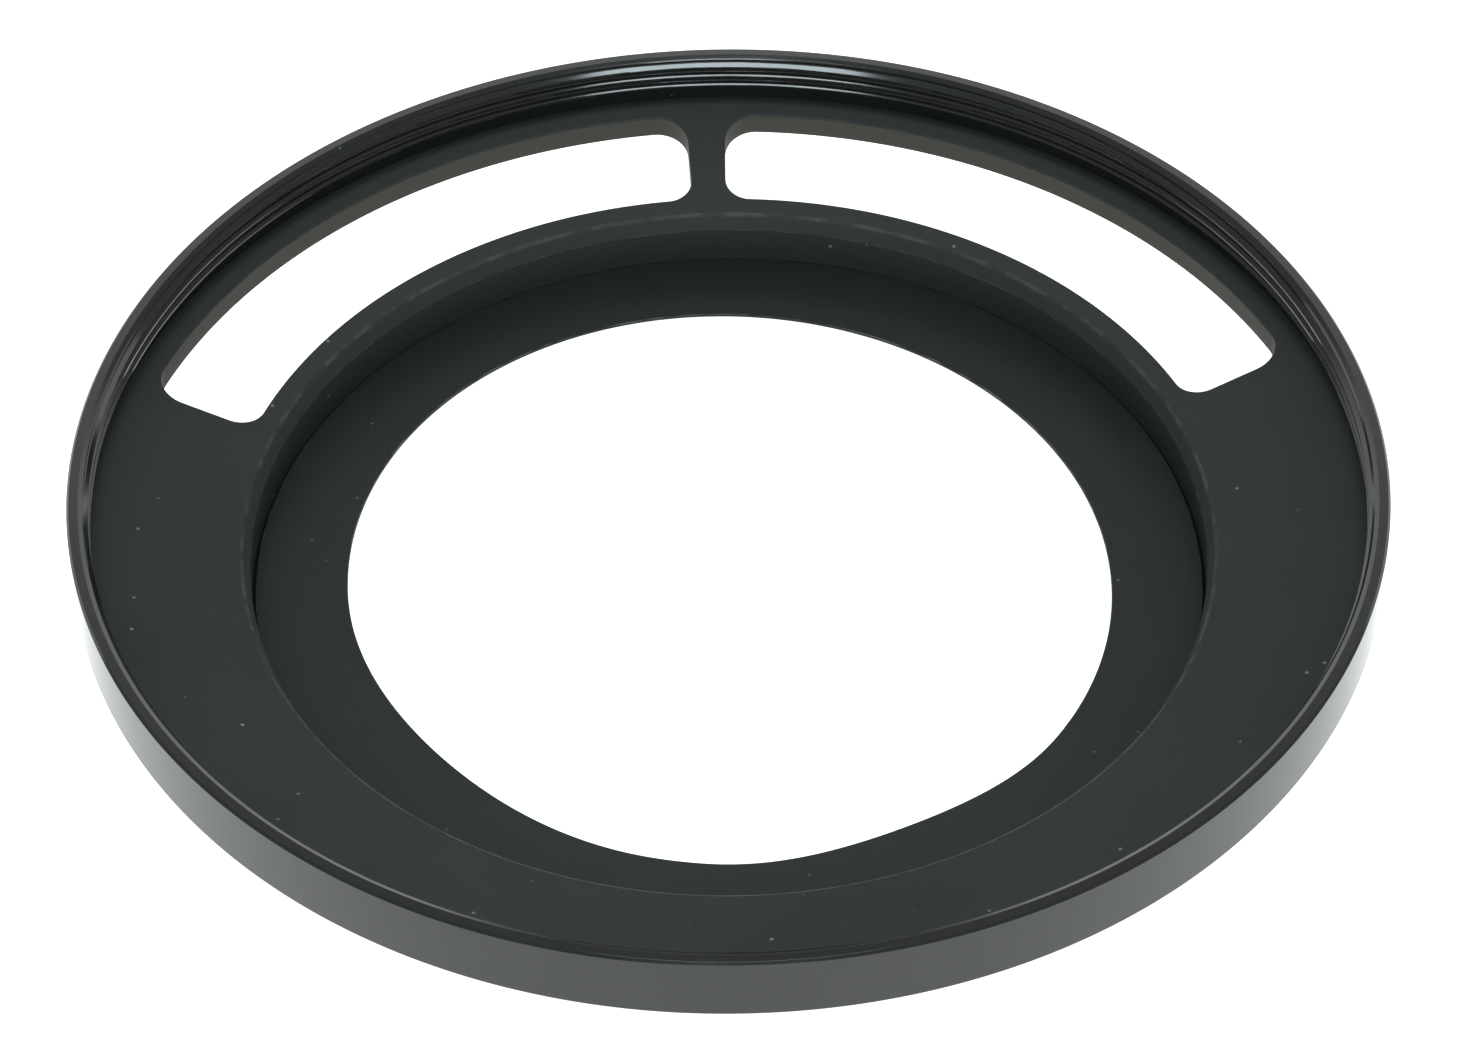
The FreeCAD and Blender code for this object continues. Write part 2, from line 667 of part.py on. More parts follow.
def slotted(name, solid, x, y, z):
    """Cut a driver slot across the rear face of a screw's head."""
    reach = D["screw_head_radius"] * 2
    slot = DOCUMENT.addObject("Part::Box", name + "_slot")
    bind(slot, "Length", reach)
    bind(slot, "Width", D["screw_slot_width"])
    bind(slot, "Height", D["screw_slot_depth"] * 2)
    put_at(slot, x - reach / 2, y - D["screw_slot_width"] / 2, z - D["screw_slot_depth"])
    cut = DOCUMENT.addObject("Part::Cut", name)
    cut.Base = solid
    cut.Tool = slot
    return cut


def bayonet_screws():
    """Countersunk screws that clamp the dish's ledge between the bayonet ring and the plate."""
    screws = []
    for i in range(int(D["bayonet_count"].value)):
        name = "bayonet_screw_%d" % (i + 1)
        x, y = polar(D["screw_circle"], screw_direction(i))
        shank = cylinder(name + "_shank", D["screw_radius"], D["screw_length"], x, y, BAYONET_BOTTOM)
        head = DOCUMENT.addObject("Part::Cone", name + "_head")
        bind(head, "Radius1", D["screw_head_radius"])
        bind(head, "Radius2", D["screw_radius"])
        bind(head, "Height", D["screw_head_radius"] - D["screw_radius"])
        put_at(head, x, y, BAYONET_BOTTOM)
        whole = DOCUMENT.addObject("Part::Fuse", name + "_whole")
        whole.Base = shank
        whole.Tool = head
        screws.append(slotted(name, whole, x, y, BAYONET_BOTTOM))
    group = DOCUMENT.addObject("Part::Compound", "bayonet_screws")
    group.Links = screws
    group.Label = "bayonet_screws"
    DOCUMENT.recompute()
    return group


def click_spring_screw():
    """Cheese-head screw that the click spring's eye sits on."""
    x, y = polar(D["screw_circle"], D["click_root_angle"])
    eye_bottom = CLICK_CEILING - D["click_lift"] - D["click_eye_thickness"]
    head_top = eye_bottom - D["click_lift"]
    head_bottom = head_top - D["click_screw_head_height"]
    shank_top = CLICK_CEILING + D["click_screw_length"] / 2
    shank = cylinder("click_shank", D["click_screw_radius"], shank_top - head_top, x, y, head_top)
    head = cylinder("click_head", D["click_screw_head"], D["click_screw_head_height"], x, y, head_bottom)
    whole = DOCUMENT.addObject("Part::Fuse", "click_screw_whole")
    whole.Base = shank
    whole.Tool = head
    screw = slotted("click_spring_screw", whole, x, y, head_bottom)
    screw.Label = "click_spring_screw"
    DOCUMENT.recompute()
    return screw


def pin(label, radius, circle_radius, angle, foot):
    """Plain pin that stands in the mount plate's rear face."""
    x, y = polar(circle_radius, angle)
    feature = cylinder(label, radius, PLATE_BOTTOM + D["pin_embed"] - foot, x, y, foot)
    feature.Label = label
    DOCUMENT.recompute()
    return feature


def check(features):
    """Stop if anything in the document failed or any sub-part isn't a valid solid."""
    DOCUMENT.recompute()
    for item in DOCUMENT.Objects:
        if "Invalid" in item.State or "Error" in item.State:
            raise RuntimeError(item.Name + " failed: " + str(item.State))
    for feature in features:
        shape = feature.Shape
        if shape.isNull() or not shape.isValid() or not shape.Solids:
            raise RuntimeError(feature.Label + " is not a valid solid")


def main():
    features = [
        front_ring(),
        vented_dish(),
        mount_plate(),
        bayonet_ring(),
        click_spring(),
        bayonet_screws(),
        click_spring_screw(),
        pin("locating_pin", D["pin_radius"], D["screw_circle"], D["locating_pin_angle"], D["locating_pin_foot"]),
        pin("bayonet_stop_pin", D["stop_pin_radius"], D["stop_pin_circle"], D["stop_pin_angle"],
            D["stop_pin_foot"]),
    ]
    check(features)
    os.makedirs("parts", exist_ok=True)
    for feature in features:
        feature.Shape.exportStep("parts/" + feature.Label + ".step")
        print("%-20s solids %d volume %.2f mm3" % (feature.Label, len(feature.Shape.Solids), feature.Shape.Volume))


main()
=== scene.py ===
"""Looks of the vented lens hood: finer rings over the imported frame, procedural finishes, studio and camera.

Profiles below are in millimetres, (radius, height above the rear face); objects are in metres.
"""
import math

import bpy
from mathutils import Matrix, Vector
from mathutils.geometry import delaunay_2d_cdt


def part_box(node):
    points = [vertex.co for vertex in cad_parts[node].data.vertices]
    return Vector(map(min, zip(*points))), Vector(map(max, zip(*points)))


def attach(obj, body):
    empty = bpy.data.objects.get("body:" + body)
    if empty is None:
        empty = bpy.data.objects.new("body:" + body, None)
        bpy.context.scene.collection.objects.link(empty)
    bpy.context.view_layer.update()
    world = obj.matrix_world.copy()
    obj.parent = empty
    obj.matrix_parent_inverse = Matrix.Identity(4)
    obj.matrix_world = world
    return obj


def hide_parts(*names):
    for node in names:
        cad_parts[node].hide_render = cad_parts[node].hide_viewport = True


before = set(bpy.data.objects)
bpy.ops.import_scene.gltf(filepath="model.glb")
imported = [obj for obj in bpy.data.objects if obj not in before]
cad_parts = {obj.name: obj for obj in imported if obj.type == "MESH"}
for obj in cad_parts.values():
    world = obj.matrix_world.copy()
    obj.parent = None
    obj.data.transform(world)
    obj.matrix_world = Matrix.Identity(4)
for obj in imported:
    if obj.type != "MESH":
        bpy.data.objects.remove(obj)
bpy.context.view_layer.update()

MM = 0.001
TURN = 2 * math.pi
SEGMENTS = 600

# Sizes of the visible rings, in millimetres. Depths are measured down from the rim's face.
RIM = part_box("front_ring")[1][2] / MM
RIM_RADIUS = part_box("front_ring")[1][0] / MM
BAND_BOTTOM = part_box("front_ring")[0][2] / MM
DISH_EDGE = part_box("vented_dish")[1][2] / MM
SEAT_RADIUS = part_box("vented_dish")[1][0] / MM
PLATE_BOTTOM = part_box("mount_plate")[0][2] / MM
PLATE_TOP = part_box("mount_plate")[1][2] / MM
PLATE_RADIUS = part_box("mount_plate")[1][0] / MM
BAND_MARGIN = 0.012
RIM_CHAMFER = 0.15
RIM_FACE_RADIUS = 38.8
LIP_RADIUS = 38.55
LIP_DEPTH = 0.12
CREST_RADIUS = 38.2
ROOT_RADIUS = 38.5
CREST_DEPTH = 0.58
PITCH = 0.75
CREST_FLAT = 0.15
ROOT_FLAT = 0.25
THREAD_END = 2.2
THREAD_BLUR = 0.05
UNDERCUT_RADIUS = 38.85
UNDERCUT_FLANK = 0.3
DISH_INNER = 29.4
DISH_INNER_DEPTH = 5.61
DISH_THICKNESS = 1.5
DISH_SLOPE = (DISH_EDGE - (RIM - DISH_INNER_DEPTH)) / (SEAT_RADIUS - DISH_INNER)
DISH_UNDER = 38.0
RECESS_RADIUS = 29.0
BEVEL_FOOT_DEPTH = 6.62
LEDGE_RADIUS = 26.6
LEDGE_THICKNESS = 0.6
LEDGE_BOTTOM = PLATE_BOTTOM - LEDGE_THICKNESS
COLLAR_RADIUS = 30.3
COLLAR_CHAMFER = 0.3
COLLAR_LEAD_IN = 0.15
VENT_INNER = 30.7
VENT_OUTER = 37.41
VENT_NEAR = math.radians(1.97)
VENT_FAR = math.radians(70.5)
VENT_INNER_CORNER = 1.65
VENT_OUTER_CORNER = 2.0
VENT_EDGE = 0.1
VENT_EDGE_WEAR = 0.25
OPENING_LONG = 23.91
OPENING_SHORT = 23.1
OPENING_ANGLE = math.radians(113.5)
OPENING_OFFSET = 0.29
OPENING_DIPS = (  # depth, middle and half width of each dip
    (0.43, math.radians(220), math.radians(36.5)),
    (0.67, math.radians(293.5), math.radians(28.5)),
)
OPENING_LAND = 0.2
OPENING_RELIEF = 0.7
PLATE_CHAMFER = 0.14

# How finely the meshes are cut.
CORNER_STEPS = 5
THREAD_ROWS = 108
VENT_ARC_STEPS = (220, 200)
VENT_CORNER_STEPS = 18
VENT_LINE_STEPS = 14


# Meshes ---------------------------------------------------------------------------------------------

class Surface:
    """Mesh under construction: welded points with their normals, and edge and cut weights for the finish."""

    def __init__(self):
        self.places = {}
        self.points = []
        self.normals = []
        self.edges = []
        self.cuts = []
        self.faces = []

    def point(self, x, y, z, normal, edge=0.0, cut=0.0):
        key = (round(x * 1e4), round(y * 1e4), round(z * 1e4))
        index = self.places.get(key)
        if index is None:
            index = len(self.points)
            self.places[key] = index
            self.points.append((x * MM, y * MM, z * MM))
            self.normals.append(normal)
            self.edges.append(edge)
            self.cuts.append(cut)
        return index

    def face(self, *corners):
        loop = [c for i, c in enumerate(corners) if c != corners[i - 1]]
        if len(loop) > 2:
            self.faces.append(loop)

    def build(self, name, material, body):
        mesh = bpy.data.meshes.new(name)
        mesh.from_pydata(self.points, [], self.faces)
        mesh.polygons.foreach_set("use_smooth", [True] * len(mesh.polygons))
        for attribute, values in (("edge", self.edges), ("cut", self.cuts)):
            mesh.attributes.new(attribute, "FLOAT", "POINT").data.foreach_set("value", values)
        mesh.normals_split_custom_set_from_vertices([Vector(n).normalized() for n in self.normals])
        mesh.materials.append(material)
        piece = bpy.data.objects.new(name, mesh)
        bpy.context.scene.collection.objects.link(piece)
        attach(piece, body)
        return piece


def rounded(corners, closed=True, steps=CORNER_STEPS):
    """Profile points (radius, height, normal, edge weight) with each corner rounded by its own radius.

    Corners are (radius, height, rounding), in the order that keeps the solid on the left. An open profile's
    two ends stay as they are, so its other corners make steps + 1 points each.
    """
    count = len(corners)
    points = []
    for i in range(count):
        here = Vector(corners[i][:2])
        before = Vector(corners[i - 1][:2])
        after = Vector(corners[(i + 1) % count][:2])
        come = (here - before).normalized()
        leave = (after - here).normalized()
        first = Vector((come.y, -come.x))
        last = Vector((leave.y, -leave.x))
        if not closed and i == 0:
            points.append((here.x, here.y, last, 0.0))
            continue
        if not closed and i == count - 1:
            points.append((here.x, here.y, first, 0.0))
            continue
        turn = math.atan2(come.x * leave.y - come.y * leave.x, come.dot(leave))
        reach = corners[i][2] * math.tan(abs(turn) / 2)
        start = here - come * reach
        side = 1 if turn > 0 else -1
        centre = start - first * corners[i][2] * side
        for step in range(steps + 1):
            angle = turn * step / steps
            normal = Vector((first.x * math.cos(angle) - first.y * math.sin(angle),
                             first.x * math.sin(angle) + first.y * math.cos(angle)))
            place = centre + normal * corners[i][2] * side
            convex = math.sin(math.pi * step / steps) if side > 0 else 0.0
            points.append((place.x, place.y, normal, convex))
    return points


def spin(surface, rows_at, closed=True):
    """Revolve rows about the axis; rows_at(angle) gives the same number of profile points each time."""
    rings = []
    for i in range(SEGMENTS):
        angle = TURN * i / SEGMENTS
        cosine, sine = math.cos(angle), math.sin(angle)
        ring = []
        for radius, height, normal, edge in rows_at(angle):
            across = normal[2] if len(normal) > 2 else 0.0
            out = (normal[0] * cosine - across * sine,
                   normal[0] * sine + across * cosine,
                   normal[1])
            ring.append(surface.point(radius * cosine, radius * sine, height, out, edge))
        rings.append(ring)
    count = len(rings[0])
    for i in range(SEGMENTS):
        here, following = rings[i], rings[(i + 1) % SEGMENTS]
        for j in range(count if closed else count - 1):
            k = (j + 1) % count
            surface.face(here[j], following[j], following[k], here[k])


# Front ring -----------------------------------------------------------------------------------------

def soft_ramp(value, blur):
    """0 to 1 ramp with eased ends: the mean of five ramps, shifted by up to the blur either way."""
    total = 0.0
    for shift in (-1.0, -0.5, 0.0, 0.5, 1.0):
        total += min(max(value + shift * blur, 0.0), 1.0)
    return total / 5


def thread_radius(depth, angle):
    """Inside of the front ring between lip and undercut, with a right-hand helical thread."""
    turned = ((angle - math.pi / 2 + math.pi) % TURN - math.pi) / TURN
    crest_middle = CREST_DEPTH + CREST_FLAT / 2 - PITCH * turned
    offset = (depth - crest_middle + PITCH / 2) % PITCH - PITCH / 2
    flank = (PITCH - CREST_FLAT - ROOT_FLAT) / 2
    risen = soft_ramp((abs(offset) - CREST_FLAT / 2) / flank, THREAD_BLUR)
    thread = CREST_RADIUS + (ROOT_RADIUS - CREST_RADIUS) * risen
    lead_in = LIP_RADIUS - (depth - LIP_DEPTH) * (LIP_RADIUS - CREST_RADIUS) / (CREST_DEPTH - LIP_DEPTH)
    undercut = CREST_RADIUS + (depth - THREAD_END) * (UNDERCUT_RADIUS - CREST_RADIUS) / UNDERCUT_FLANK
    return min(max(thread, lead_in, undercut), UNDERCUT_RADIUS)


def thread_rows(angle):
    """Thread rows from the undercut up to the lip, with normals from the surface's own slope."""
    margin = 0.02
    first = LIP_DEPTH + margin
    last = THREAD_END + UNDERCUT_FLANK - margin
    step = 1e-3
    rows = []
    for i in range(THREAD_ROWS + 1):
        depth = last - (last - first) * i / THREAD_ROWS
        radius = thread_radius(depth, angle)
        along = (thread_radius(depth + step, angle) - thread_radius(depth - step, angle)) / (2 * step)
        around = (thread_radius(depth, angle + step) - thread_radius(depth, angle - step)) / (2 * step)
        normal = Vector((-1.0, -along, around / radius)).normalized()
        rows.append((radius, RIM - depth, normal, 0.0))
    return rows


def front_ring(material):
    band = RIM_RADIUS - BAND_MARGIN
    lower = rounded([
        (UNDERCUT_RADIUS, RIM - THREAD_END - UNDERCUT_FLANK, 0.0),
        (UNDERCUT_RADIUS, DISH_EDGE, 0.02),
        (SEAT_RADIUS, DISH_EDGE, 0.02),
        (SEAT_RADIUS, BAND_BOTTOM, 0.03),
        (band, BAND_BOTTOM, 0.14),
        (band, RIM - RIM_CHAMFER, 0.02),
        (band - RIM_CHAMFER, RIM, 0.04),
        (RIM_FACE_RADIUS, RIM, 0.04),
        (LIP_RADIUS, RIM - LIP_DEPTH, 0.0),
    ], closed=False)
    surface = Surface()
    spin(surface, lambda angle: lower + thread_rows(angle)[::-1])
    piece = surface.build("front_ring_finish", material, "hood")
    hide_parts("front_ring")


# Vented dish ----------------------------------------------------------------------------------------

def dish_top(radius):
    return DISH_EDGE - DISH_SLOPE * (SEAT_RADIUS - radius)


def dish_under(radius):
    return dish_top(radius) - DISH_THICKNESS


def vent_outline(side):
    """Outline of a vent as (place, direction into the metal); side is 1 for +X and -1 for -X."""
    points = []

    def arc(centre, radius, start, stop, steps, sign):
        for step in range(steps):
            angle = start + (stop - start) * step / steps
            out = Vector((math.cos(angle), math.sin(angle)))
            points.append((centre + out * radius, out * sign))

    near = math.pi / 2 - VENT_NEAR
    far = math.pi / 2 - VENT_FAR
    outer_middle = VENT_OUTER - VENT_OUTER_CORNER
    inner_middle = VENT_INNER + VENT_INNER_CORNER
    lean_out = math.asin(VENT_OUTER_CORNER / outer_middle)
    lean_in = math.asin(VENT_INNER_CORNER / inner_middle)
    outer_reach = math.sqrt(outer_middle ** 2 - VENT_OUTER_CORNER ** 2)
    inner_reach = math.sqrt(inner_middle ** 2 - VENT_INNER_CORNER ** 2)

    def at(radius, angle):
        return Vector((math.cos(angle), math.sin(angle))) * radius

    def line(start, end, out):
        for step in range(VENT_LINE_STEPS):
            points.append((start.lerp(end, step / VENT_LINE_STEPS), out))

    along_outer, along_inner = VENT_ARC_STEPS
    turn = VENT_CORNER_STEPS
    arc(at(0.0, 0.0), VENT_OUTER, far + lean_out, near - lean_out, along_outer, 1)
    arc(at(outer_middle, near - lean_out), VENT_OUTER_CORNER, near - lean_out, near + math.pi / 2, turn, 1)
    line(at(outer_reach, near), at(inner_reach, near), at(1.0, near + math.pi / 2))
    arc(at(inner_middle, near - lean_in), VENT_INNER_CORNER,
        near + math.pi / 2, near - lean_in + math.pi, turn, 1)
    arc(at(0.0, 0.0), VENT_INNER, near - lean_in, far + lean_in, along_inner, -1)
    arc(at(inner_middle, far + lean_in), VENT_INNER_CORNER,
        far + lean_in + math.pi, far + math.pi * 1.5, turn, 1)
    line(at(inner_reach, far), at(outer_reach, far), at(1.0, far - math.pi / 2))
    arc(at(outer_middle, far + lean_out), VENT_OUTER_CORNER, far - math.pi / 2, far + lean_out, turn, 1)
    if side < 0:
        points = [(Vector((-p.x, p.y)), Vector((-n.x, n.y))) for p, n in points][::-1]
    return points


def cone_normal(x, y, upward):
    """Normal of the dish's cone, which falls towards the axis."""
    radius = math.hypot(x, y)
    return Vector((-DISH_SLOPE * x / radius, -DISH_SLOPE * y / radius, 1.0)).normalized() * upward


def cone_sheet(surface, inner, outer, height_at, upward, outlines):
    """One side of the cone between two radii, open at the vents."""
    flat, edges = [], []

    def loop(places):
        start = len(flat)
        flat.extend(places)
        for i in range(len(places)):
            edges.append((start + i, start + (i + 1) % len(places)))

    for radius in (inner, outer):
        loop([Vector((radius * math.cos(TURN * i / SEGMENTS), radius * math.sin(TURN * i / SEGMENTS)))
              for i in range(SEGMENTS)])
    holes = [[place + out * VENT_EDGE for place, out in outline] for outline in outlines]
    for hole in holes:
        loop(hole)
    corners, _, faces, _, _, _ = delaunay_2d_cdt(flat, edges, [], 0, 1e-6)
    names = [surface.point(c.x, c.y, height_at(c.length), cone_normal(c.x, c.y, upward)) for c in corners]
    for face in faces:
        middle = sum((corners[i] for i in face), Vector((0.0, 0.0))) / len(face)
        if middle.length < inner * math.cos(math.pi / SEGMENTS) - 1e-4:
            continue
        if any(inside(middle, hole) for hole in holes):
            continue
        surface.face(*[names[i] for i in (face if upward > 0 else face[::-1])])


def inside(place, outline):
    """Whether a place lies inside a closed outline, by counting crossings."""
    hit = False
    for i in range(len(outline)):
        a, b = outline[i - 1], outline[i]
        if (a.y > place.y) != (b.y > place.y):
            if place.x < (b.x - a.x) * (place.y - a.y) / (b.y - a.y) + a.x:
                hit = not hit
    return hit


def vent_wall(surface, outline):
    """Wall of a vent with its two rounded edges."""
    columns = []
    steps = CORNER_STEPS
    for place, out in outline:
        column = []
        for step in range(steps + 1):
            angle = math.pi / 2 * step / steps
            spot = place + out * VENT_EDGE * (1 - math.sin(angle))
            height = dish_top(spot.length) - VENT_EDGE * (1 - math.cos(angle))
            normal = cone_normal(spot.x, spot.y, 1) * math.cos(angle)
            normal += Vector((-out.x, -out.y, 0.0)) * math.sin(angle)
            edge = VENT_EDGE_WEAR * math.sin(math.pi * step / steps)
            cut = 1.0 if step == steps else 0.0
            column.append(surface.point(spot.x, spot.y, height, normal, edge, cut))
        for step in range(steps + 1):
            angle = math.pi / 2 * (1 - step / steps)
            spot = place + out * VENT_EDGE * (1 - math.sin(angle))
            height = dish_under(spot.length) + VENT_EDGE * (1 - math.cos(angle))
            normal = cone_normal(spot.x, spot.y, -1) * math.cos(angle)
            normal += Vector((-out.x, -out.y, 0.0)) * math.sin(angle)
            column.append(surface.point(spot.x, spot.y, height, normal, 0.0, 1.0))
        columns.append(column)
    for i in range(len(columns)):
        here, before = columns[i], columns[i - 1]
        for j in range(len(here) - 1):
            surface.face(before[j], here[j], here[j + 1], before[j + 1])


def vented_dish(material):
    profile = rounded([
        (RECESS_RADIUS + COLLAR_LEAD_IN, 0.0, 0.04),
        (COLLAR_RADIUS - COLLAR_CHAMFER, 0.0, 0.1),
        (COLLAR_RADIUS, COLLAR_CHAMFER, 0.1),
        (COLLAR_RADIUS, dish_under(COLLAR_RADIUS), 0.15),
        (DISH_UNDER, dish_under(DISH_UNDER), 0.1),
        (SEAT_RADIUS, BAND_BOTTOM, 0.02),
        (SEAT_RADIUS, DISH_EDGE, 0.02),
        (DISH_INNER, dish_top(DISH_INNER), 0.38),
        (RECESS_RADIUS, RIM - BEVEL_FOOT_DEPTH, 0.3),
        (RECESS_RADIUS, PLATE_BOTTOM, 0.02),
        (LEDGE_RADIUS, PLATE_BOTTOM, 0.04),
        (LEDGE_RADIUS, LEDGE_BOTTOM, 0.04),
        (RECESS_RADIUS, LEDGE_BOTTOM, 0.02),
        (RECESS_RADIUS, COLLAR_LEAD_IN, 0.04),
    ])
    # Each corner gives CORNER_STEPS + 1 points. The cone's underside runs from the fourth corner to the
    # fifth and its top from the seventh to the eighth; cone_sheet makes those two.
    per_corner = CORNER_STEPS + 1
    under_in, under_out = 4 * per_corner - 1, 4 * per_corner
    top_out, top_in = 7 * per_corner - 1, 7 * per_corner
    surface = Surface()
    outer_edge = profile[under_out:top_out + 1]
    inner_side = profile[top_in:] + profile[:under_in + 1]
    spin(surface, lambda angle: outer_edge, closed=False)
    spin(surface, lambda angle: inner_side, closed=False)
    outlines = [vent_outline(1), vent_outline(-1)]
    cone_sheet(surface, profile[top_in][0], profile[top_out][0], dish_top, 1, outlines)
    cone_sheet(surface, profile[under_in][0], profile[under_out][0], dish_under, -1, outlines)
    for outline in outlines:
        vent_wall(surface, outline)
    piece = surface.build("vented_dish_finish", material, "hood")
    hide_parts("vented_dish")


# Mount plate ----------------------------------------------------------------------------------------

def opening_radius(angle):
    """Edge of the light opening: an oval set a little off the axis, with two shallow dips."""
    along = math.cos(angle - OPENING_ANGLE) / OPENING_LONG
    across = math.sin(angle - OPENING_ANGLE) / OPENING_SHORT
    shift_along = OPENING_OFFSET * math.cos(-math.pi / 2 - OPENING_ANGLE) / OPENING_LONG
    shift_across = OPENING_OFFSET * math.sin(-math.pi / 2 - OPENING_ANGLE) / OPENING_SHORT
    square = along ** 2 + across ** 2
    half = along * shift_along + across * shift_across
    rest = shift_along ** 2 + shift_across ** 2 - 1
    radius = (half + math.sqrt(half ** 2 - square * rest)) / square
    for depth, middle, reach in OPENING_DIPS:
        lean = (angle - middle + math.pi) % TURN - math.pi
        if abs(lean) < reach:
            radius -= depth * (1 + math.cos(math.pi * lean / reach)) / 2
    return radius


def mount_plate(material):
    """Plate in the recess; its profile is drawn at the oval's short radius and follows the opening round."""
    profile = rounded([
        (PLATE_RADIUS, PLATE_BOTTOM, 0.03),
        (PLATE_RADIUS, PLATE_TOP - PLATE_CHAMFER, 0.03),
        (PLATE_RADIUS - PLATE_CHAMFER, PLATE_TOP, 0.03),
        (OPENING_SHORT, PLATE_TOP, 0.06),
        (OPENING_SHORT, PLATE_TOP - OPENING_LAND, 0.03),
        (OPENING_SHORT + OPENING_RELIEF, PLATE_BOTTOM, 0.03),
    ])
    rim_of_opening = OPENING_SHORT + OPENING_RELIEF + 0.1
    step = 1e-3

    def rows_at(angle):
        shift = opening_radius(angle) - OPENING_SHORT
        change = opening_radius(angle + step) - opening_radius(angle - step)
        slope = change / (2 * step) / opening_radius(angle)
        rows = []
        for radius, height, normal, edge in profile:
            if radius < rim_of_opening:
                across = -slope * normal[0]
                rows.append((radius + shift, height, (normal[0], normal[1], across), edge))
            else:
                rows.append((radius, height, normal, edge))
        return rows

    surface = Surface()
    spin(surface, rows_at)
    piece = surface.build("mount_plate_finish", material, "hood")
    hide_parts("mount_plate")


# Finishes -------------------------------------------------------------------------------------------

class Finish:
    """A material built node by node on a Principled shader."""

    def __init__(self, name):
        self.material = bpy.data.materials.new(name)
        self.material.use_nodes = True
        self.tree = self.material.node_tree
        self.shader = self.tree.nodes["Principled BSDF"]
        self.coordinates = self.node("ShaderNodeTexCoord").outputs["Object"]

    def node(self, kind, **settings):
        node = self.tree.nodes.new(kind)
        for name, value in settings.items():
            setattr(node, name, value)
        return node

    def link(self, source, socket):
        if isinstance(source, (int, float)):
            socket.default_value = source
        elif isinstance(source, tuple):
            socket.default_value = source if len(source) != 3 or socket.type != "RGBA" else source + (1.0,)
        else:
            self.tree.links.new(source, socket)

    def math(self, operation, first, second=0.0, clamp=False):
        node = self.node("ShaderNodeMath", operation=operation, use_clamp=clamp)
        self.link(first, node.inputs[0])
        self.link(second, node.inputs[1])
        return node.outputs[0]

    def noise(self, scale, detail=2.0, coordinates=None, roughness=0.5):
        node = self.node("ShaderNodeTexNoise")
        node.inputs["Scale"].default_value = scale
        node.inputs["Detail"].default_value = detail
        node.inputs["Roughness"].default_value = roughness
        self.link(coordinates or self.coordinates, node.inputs["Vector"])
        return node.outputs["Fac"]

    def axes(self):
        """The object coordinates as three separate sockets."""
        split = self.node("ShaderNodeSeparateXYZ")
        self.link(self.coordinates, split.inputs[0])
        return split.outputs

    def ring_noise(self, scale, drift=0.02):
        """Fine circular lines about the axis, as a lathe tool leaves them."""
        x, y, z = self.axes()
        squares = self.math("ADD", self.math("MULTIPLY", x, x), self.math("MULTIPLY", y, y))
        along = self.math("ADD", self.math("SQRT", squares), z)
        join = self.node("ShaderNodeCombineXYZ")
        self.link(along, join.inputs[0])
        self.link(self.math("MULTIPLY", x, drift), join.inputs[1])
        self.link(self.math("MULTIPLY", y, drift), join.inputs[2])
        return self.noise(scale, 3.0, join.outputs[0], 0.6)

    def range(self, value, low, high, new_low, new_high):
        node = self.node("ShaderNodeMapRange", clamp=True)
        for socket, number in zip(node.inputs[1:5], (low, high, new_low, new_high)):
            socket.default_value = number
        self.link(value, node.inputs[0])
        return node.outputs[0]

    def mix(self, factor, first, second):
        node = self.node("ShaderNodeMix", data_type="RGBA")
        self.link(factor, node.inputs["Factor"])
        self.link(first, node.inputs[6])
        self.link(second, node.inputs[7])
        return node.outputs[2]

    def bumps(self, *layers):
        """Stack bump layers given as (height, depth in metres)."""
        normal = None
        for height, depth in layers:
            bump = self.node("ShaderNodeBump")
            bump.inputs["Strength"].default_value = 1.0
            bump.inputs["Distance"].default_value = depth
            self.link(height, bump.inputs["Height"])
            if normal is not None:
                self.link(normal, bump.inputs["Normal"])
            normal = bump.outputs[0]
        self.link(normal, self.shader.inputs["Normal"])

    def worn_edge(self, amount, coordinates_scale):
        """Where an edge has lost its finish: patchy, and only on rounded edges."""
        edge = self.node("ShaderNodeAttribute", attribute_name="edge").outputs["Fac"]
        patches = self.range(self.noise(coordinates_scale, 4.0), 0.42, 0.60, 0.0, 1.0)
        return self.math("MULTIPLY", self.math("MULTIPLY", edge, patches), amount, clamp=True)

    def specks(self, scale, size, share):
        """Small round dust specks on a share of the cells."""
        cells = self.node("ShaderNodeTexVoronoi")
        cells.inputs["Scale"].default_value = scale
        self.link(self.coordinates, cells.inputs["Vector"])
        dot = self.range(cells.outputs["Distance"], size * 0.4, size, 1.0, 0.0)
        split = self.node("ShaderNodeSeparateColor")
        self.link(cells.outputs["Color"], split.inputs[0])
        chosen = self.math("GREATER_THAN", split.outputs[0], 1.0 - share)
        return self.math("MULTIPLY", dot, chosen)


def gloss_black():
    """Gloss enamel: near-black and smooth, with faint turning lines and a little dust."""
    finish = Finish("gloss_black_enamel")
    shader = finish.shader
    cloud = finish.noise(220.0, 3.0)
    colour = finish.mix(cloud, (0.0090, 0.0102, 0.0098), (0.0125, 0.0138, 0.0132))
    dust = finish.specks(1400.0, 0.16, 0.008)
    colour = finish.mix(finish.math("MULTIPLY", dust, 0.5), colour, (0.16, 0.17, 0.17))
    colour = finish.mix(finish.worn_edge(0.05, 900.0), colour, (0.12, 0.12, 0.12))
    finish.link(colour, shader.inputs["Base Color"])
    lines = finish.ring_noise(9000.0)
    roughness = finish.range(finish.math("ADD", cloud, lines), 0.6, 1.4, 0.08, 0.13)
    finish.link(roughness, shader.inputs["Roughness"])
    finish.bumps((finish.noise(1400.0, 2.0), 0.0000004), (lines, 0.0000001))
    shader.inputs["IOR"].default_value = 1.5
    return finish.material


